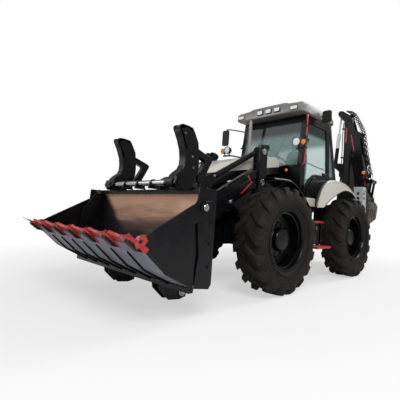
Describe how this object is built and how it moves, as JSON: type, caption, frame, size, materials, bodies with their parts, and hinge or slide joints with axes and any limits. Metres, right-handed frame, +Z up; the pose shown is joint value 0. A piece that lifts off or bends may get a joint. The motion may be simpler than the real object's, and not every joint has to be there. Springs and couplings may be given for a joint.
{
  "type": "backhoe loader",
  "caption": "Backhoe loader with equal-size steered wheels, clam bucket with fold-over forks, cab and a side-folded digging arm.",
  "frame": {"origin": "on the ground under the middle of the machine's length and width", "axes": "+X to the loader bucket at the front, +Y to the machine's left, +Z up"},
  "size_m": [6.23, 2.45, 3.6498],
  "materials": {
    "cream_paint": "semi-gloss",
    "dark_paint": "semi-gloss",
    "grey_paint": "satin",
    "tyre_rubber": "matte",
    "rim_paint": "satin",
    "window_glass": "clear",
    "rod_chrome": "polished",
    "black_plastic": "matte",
    "engine_iron": "rough",
    "exhaust_steel": "brushed"
  },
  "bodies": {
    "root": {"frame_rails": "dark_paint", "frame_beams": "dark_paint", "loader_towers": "dark_paint", "engine": "engine_iron", "axles": "dark_paint", "front_fenders": "dark_paint", "nose_grille": "black_plastic", "cab_frame": "dark_paint", "cab_glass": "window_glass", "cab_roof": "cream_paint", "cab_interior": "black_plastic", "rear_fenders": "cream_paint", "step_boxes": "dark_paint", "rear_frame": "dark_paint", "stabilizer_housings": "grey_paint", "exhaust": "exhaust_steel", "head_lamps": "black_plastic", "mirrors": "black_plastic"},
    "arms": {"loader_arms": "dark_paint"},
    "bucket": {"bucket": "dark_paint"},
    "clam": {"clam": "dark_paint"},
    "hood": {"hood": "cream_paint"},
    "carriage": {"carriage": "dark_paint"},
    "kingpost": {"kingpost": "dark_paint"},
    "boom": {"boom": "dark_paint"},
    "dipper": {"dipper": "dark_paint"},
    "digger_bucket": {"digger_bucket": "dark_paint"},
    "lift_barrels": {"lift_barrels": "dark_paint"},
    "lift_rods": {"lift_rods": "rod_chrome"},
    "tilt_barrels": {"tilt_barrels": "dark_paint"},
    "tilt_rods": {"tilt_rods": "rod_chrome"},
    "tilt_levers": {"tilt_levers": "dark_paint"},
    "tilt_links": {"tilt_links": "dark_paint"},
    "fork_left": {"fork_left": "dark_paint"},
    "fork_right": {"fork_right": "dark_paint"},
    "door_left": {"door_left": "window_glass"},
    "door_right": {"door_right": "window_glass"},
    "boom_barrel": {"boom_barrel": "dark_paint"},
    "boom_rod": {"boom_rod": "rod_chrome"},
    "dipper_barrel": {"dipper_barrel": "dark_paint"},
    "dipper_rod": {"dipper_rod": "rod_chrome"},
    "curl_barrel": {"curl_barrel": "dark_paint"},
    "curl_rod": {"curl_rod": "rod_chrome"},
    "curl_levers": {"curl_levers": "dark_paint"},
    "curl_link": {"curl_link": "dark_paint"},
    "stabilizer_left": {"stabilizer_leg_left": "grey_paint"},
    "stabilizer_right": {"stabilizer_leg_right": "grey_paint"},
    "knuckle_front_left": {"knuckle_front_left": "dark_paint"},
    "wheel_front_left": {"tyre_front_left": "tyre_rubber", "rim_front_left": "rim_paint"},
    "knuckle_front_right": {"knuckle_front_right": "dark_paint"},
    "wheel_front_right": {"tyre_front_right": "tyre_rubber", "rim_front_right": "rim_paint"},
    "knuckle_rear_left": {"knuckle_rear_left": "dark_paint"},
    "wheel_rear_left": {"tyre_rear_left": "tyre_rubber", "rim_rear_left": "rim_paint"},
    "knuckle_rear_right": {"knuckle_rear_right": "dark_paint"},
    "wheel_rear_right": {"tyre_rear_right": "tyre_rubber", "rim_rear_right": "rim_paint"}
  },
  "joints": [
    {"name": "front_left_steer", "type": "hinge", "parent": "root", "child": "knuckle_front_left", "pos_m": [0.695, 0.7, 0.708], "axis": [0, 0, 1], "range_deg": [-18, 18]},
    {"name": "front_left_wheel", "type": "hinge", "parent": "knuckle_front_left", "child": "wheel_front_left", "pos_m": [0.695, 0.942, 0.708], "axis": [0, 1, 0], "continuous": true},
    {"name": "front_right_steer", "type": "hinge", "parent": "root", "child": "knuckle_front_right", "pos_m": [0.695, -0.7, 0.708], "axis": [0, 0, 1], "range_deg": [-18, 18]},
    {"name": "front_right_wheel", "type": "hinge", "parent": "knuckle_front_right", "child": "wheel_front_right", "pos_m": [0.695, -0.942, 0.708], "axis": [0, 1, 0], "continuous": true},
    {"name": "rear_left_steer", "type": "hinge", "parent": "root", "child": "knuckle_rear_left", "pos_m": [-1.522, 0.7, 0.708], "axis": [0, 0, 1], "range_deg": [-15, 15]},
    {"name": "rear_left_wheel", "type": "hinge", "parent": "knuckle_rear_left", "child": "wheel_rear_left", "pos_m": [-1.522, 0.942, 0.708], "axis": [0, 1, 0], "continuous": true},
    {"name": "rear_right_steer", "type": "hinge", "parent": "root", "child": "knuckle_rear_right", "pos_m": [-1.522, -0.7, 0.708], "axis": [0, 0, 1], "range_deg": [-15, 15]},
    {"name": "rear_right_wheel", "type": "hinge", "parent": "knuckle_rear_right", "child": "wheel_rear_right", "pos_m": [-1.522, -0.942, 0.708], "axis": [0, 1, 0], "continuous": true},
    {"name": "loader_lift", "type": "hinge", "parent": "root", "child": "arms", "pos_m": [0.685, 0, 1.5], "axis": [0, -1, 0], "range_deg": [-3, 90]},
    {"name": "lift_barrel_turn", "type": "hinge", "parent": "root", "child": "lift_barrels", "pos_m": [0.395, 0, 0.8], "axis": [0, -1, 0], "range_deg": [-1.85, 42.76]},
    {"name": "lift_rod_slide", "type": "slide", "parent": "lift_barrels", "child": "lift_rods", "axis": [0.9249, 0, 0.3802], "range_m": [-0.0208, 0.48114]},
    {"name": "bucket_tilt", "type": "hinge", "parent": "arms", "child": "bucket", "pos_m": [1.995, 0, 0.145], "axis": [0, 1, 0], "range_deg": [0, 95]},
    {"name": "tilt_lever_turn", "type": "hinge", "parent": "arms", "child": "tilt_levers", "pos_m": [1.675, 0, 0.9], "axis": [0, 1, 0], "range_deg": [-0.98, 99.38]},
    {"name": "tilt_link_turn", "type": "hinge", "parent": "tilt_levers", "child": "tilt_links", "pos_m": [1.68, 0, 1.405], "axis": [0, 1, 0], "range_deg": [-98.34, 0.97]},
    {"name": "tilt_barrel_turn", "type": "hinge", "parent": "root", "child": "tilt_barrels", "pos_m": [0.675, 0, 1.955], "axis": [0, -1, 0], "range_deg": [-5.58, 129.12]},
    {"name": "tilt_rod_slide", "type": "slide", "parent": "tilt_barrels", "child": "tilt_rods", "axis": [0.867, 0, -0.4983], "range_m": [-0.0086, 0.86894]},
    {"name": "clam_open", "type": "hinge", "parent": "bucket", "child": "clam", "pos_m": [2.275, 0, 1.06], "axis": [0, 1, 0], "range_deg": [-60, 0]},
    {"name": "fork_left_fold", "type": "hinge", "parent": "bucket", "child": "fork_left", "pos_m": [2.275, 0.675, 1.315], "axis": [0, 1, 0], "range_deg": [0, 130]},
    {"name": "fork_right_fold", "type": "hinge", "parent": "bucket", "child": "fork_right", "pos_m": [2.275, -0.675, 1.315], "axis": [0, 1, 0], "range_deg": [0, 130]},
    {"name": "hood_open", "type": "hinge", "parent": "root", "child": "hood", "pos_m": [-0.025, 0, 1.982], "axis": [0, 1, 0], "range_deg": [-38, 0]},
    {"name": "door_left_open", "type": "hinge", "parent": "root", "child": "door_left", "pos_m": [-0.29, 0.72, 1.4], "axis": [0, 0, -1], "range_deg": [0, 75]},
    {"name": "door_right_open", "type": "hinge", "parent": "root", "child": "door_right", "pos_m": [-0.29, -0.72, 1.4], "axis": [0, 0, 1], "range_deg": [0, 75]},
    {"name": "stabilizer_left_drop", "type": "slide", "parent": "root", "child": "stabilizer_left", "axis": [0, 0, -1], "range_m": [0, 0.33]},
    {"name": "stabilizer_right_drop", "type": "slide", "parent": "root", "child": "stabilizer_right", "axis": [0, 0, -1], "range_m": [0, 0.33]},
    {"name": "side_shift", "type": "slide", "parent": "root", "child": "carriage", "axis": [0, 1, 0], "range_m": [-0.37, 0.37]},
    {"name": "backhoe_swing", "type": "hinge", "parent": "carriage", "child": "kingpost", "pos_m": [-2.865, 0, 0.8], "axis": [0, 0, 1], "range_deg": [0, 180]},
    {"name": "boom_raise", "type": "hinge", "parent": "kingpost", "child": "boom", "pos_m": [-2.865, 0.24, 0.9], "axis": [-1, 0, 0], "range_deg": [0, 105]},
    {"name": "boom_barrel_turn", "type": "hinge", "parent": "kingpost", "child": "boom_barrel", "pos_m": [-2.865, 0.095, 1.18], "axis": [-1, 0, 0], "range_deg": [-1.07, 107.77]},
    {"name": "boom_rod_slide", "type": "slide", "parent": "boom_barrel", "child": "boom_rod", "axis": [0, 0.092, 0.9958], "range_m": [-0.00499, 0.50415]},
    {"name": "dipper_reach", "type": "hinge", "parent": "boom", "child": "dipper", "pos_m": [-2.865, 0.36, 3.42], "axis": [1, 0, 0], "range_deg": [0, 100]},
    {"name": "dipper_barrel_turn", "type": "hinge", "parent": "boom", "child": "dipper_barrel", "pos_m": [-2.865, 0.02, 2.3], "axis": [1, 0, 0], "range_deg": [-6.4, 0.06]},
    {"name": "dipper_rod_slide", "type": "slide", "parent": "dipper_barrel", "child": "dipper_rod", "axis": [0, 0.1071, 0.9943], "range_m": [-0.39808, 0.00394]},
    {"name": "digger_curl", "type": "hinge", "parent": "dipper", "child": "digger_bucket", "pos_m": [-2.865, 0.8, 1.66], "axis": [1, 0, 0], "range_deg": [0, 110]},
    {"name": "curl_lever_turn", "type": "hinge", "parent": "dipper", "child": "curl_levers", "pos_m": [-2.865, 0.725, 1.965], "axis": [1, 0, 0], "range_deg": [-0.77, 77.56]},
    {"name": "curl_link_turn", "type": "hinge", "parent": "curl_levers", "child": "curl_link", "pos_m": [-2.865, 0.937, 1.908], "axis": [1, 0, 0], "range_deg": [-57.91, 0.57]},
    {"name": "curl_barrel_turn", "type": "hinge", "parent": "dipper", "child": "curl_barrel", "pos_m": [-2.865, 0.634, 3.024], "axis": [1, 0, 0], "range_deg": [-2.52, 0.02]},
    {"name": "curl_rod_slide", "type": "slide", "parent": "curl_barrel", "child": "curl_rod", "axis": [0, 0.262, -0.9651], "range_m": [-0.27178, 0.00269]}
  ],
  "couplings": [
    {"joint": "front_right_steer", "follows": "front_left_steer", "ratio": 1},
    {"joint": "rear_right_steer", "follows": "rear_left_steer", "ratio": 1},
    {"joint": "lift_barrel_turn", "follows": "loader_lift", "ratio": 0.47027},
    {"joint": "lift_rod_slide", "follows": "loader_lift", "m_per_rad": 0.30317},
    {"joint": "tilt_lever_turn", "follows": "bucket_tilt", "ratio": 1.0358},
    {"joint": "tilt_link_turn", "follows": "bucket_tilt", "ratio": -1.0249},
    {"joint": "tilt_barrel_turn", "follows": "loader_lift", "ratio": 1.42},
    {"joint": "tilt_rod_slide", "follows": "bucket_tilt", "m_per_rad": 0.51888},
    {"joint": "boom_barrel_turn", "follows": "boom_raise", "ratio": 1.0162},
    {"joint": "boom_rod_slide", "follows": "boom_raise", "m_per_rad": 0.27238},
    {"joint": "dipper_barrel_turn", "follows": "dipper_reach", "ratio": -0.06339},
    {"joint": "dipper_rod_slide", "follows": "dipper_reach", "m_per_rad": -0.22582},
    {"joint": "curl_lever_turn", "follows": "digger_curl", "ratio": 0.69808},
    {"joint": "curl_link_turn", "follows": "digger_curl", "ratio": -0.52124},
    {"joint": "curl_barrel_turn", "follows": "digger_curl", "ratio": -0.02272},
    {"joint": "curl_rod_slide", "follows": "digger_curl", "m_per_rad": -0.14016}
  ]
}
